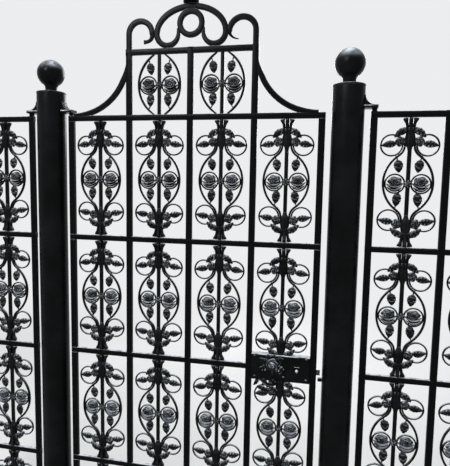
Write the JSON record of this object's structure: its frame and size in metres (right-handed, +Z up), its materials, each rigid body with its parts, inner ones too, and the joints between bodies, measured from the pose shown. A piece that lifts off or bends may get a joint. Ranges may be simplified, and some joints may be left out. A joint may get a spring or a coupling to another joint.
{
  "type": "wrought iron garden gate with fence bays",
  "caption": "Single-leaf ornamental iron gate with cast scroll panels and a scrolled crown, hung between round ball-topped posts with fence bays either side.",
  "frame": {"origin": "centre of the hinge post's flat foot, at ground level", "axes": "+X along the gate from the hinge post to the lock post, +Y from the street side to the garden side that the leaf swings into, +Z up"},
  "size_m": [2.3456, 0.1056, 2.2246],
  "materials": {
    "post_paint": "gloss",
    "bar_paint": "gloss",
    "casting_paint": "gloss",
    "lock_paint": "gloss",
    "bolt_steel": "worn"
  },
  "bodies": {
    "root": {"hinge_post": "post_paint", "latch_stop": "lock_paint", "left_end_post": "post_paint", "left_fence_brackets": "bar_paint", "left_fence_castings": "casting_paint", "left_fence_frame": "bar_paint", "lock_post": "post_paint", "pivot_brackets": "bar_paint", "post_finials": "post_paint", "right_end_post": "post_paint", "right_fence_brackets": "bar_paint", "right_fence_castings": "casting_paint", "right_fence_frame": "bar_paint"},
    "leaf": {"hinge_stile": "bar_paint", "lock_stile": "bar_paint", "left_inner_stile": "bar_paint", "right_inner_stile": "bar_paint", "centre_stile": "bar_paint", "bottom_rail": "bar_paint", "lower_rail": "bar_paint", "lock_rail": "bar_paint", "upper_rail": "bar_paint", "top_rail": "bar_paint", "crown_rail": "bar_paint", "bay_1_castings": "casting_paint", "bay_2_castings": "casting_paint", "bay_3_castings": "casting_paint", "bay_4_castings": "casting_paint", "crown_castings": "casting_paint", "swan_necks": "bar_paint", "crown_hooks": "bar_paint", "crown_arch": "bar_paint", "crown_ring": "bar_paint", "crown_finial": "bar_paint", "lock_case": "lock_paint"},
    "knob": {"rose_knob": "lock_paint"},
    "bolt": {"latch_bolt": "bolt_steel"}
  },
  "joints": [
    {"name": "leaf_swing", "type": "hinge", "parent": "root", "child": "leaf", "pos_m": [0.08, 0, 0], "axis": [0, 0, 1], "range_deg": [0, 95]},
    {"name": "knob_turn", "type": "hinge", "parent": "leaf", "child": "knob", "pos_m": [0.823, 0, 0.929], "axis": [0, 1, 0], "range_deg": [0, 50]},
    {"name": "bolt_slide", "type": "slide", "parent": "leaf", "child": "bolt", "axis": [-1, 0, 0], "range_m": [0, 0.01]}
  ],
  "couplings": [
    {"joint": "bolt_slide", "follows": "knob_turn", "m_per_rad": 0.01145}
  ]
}
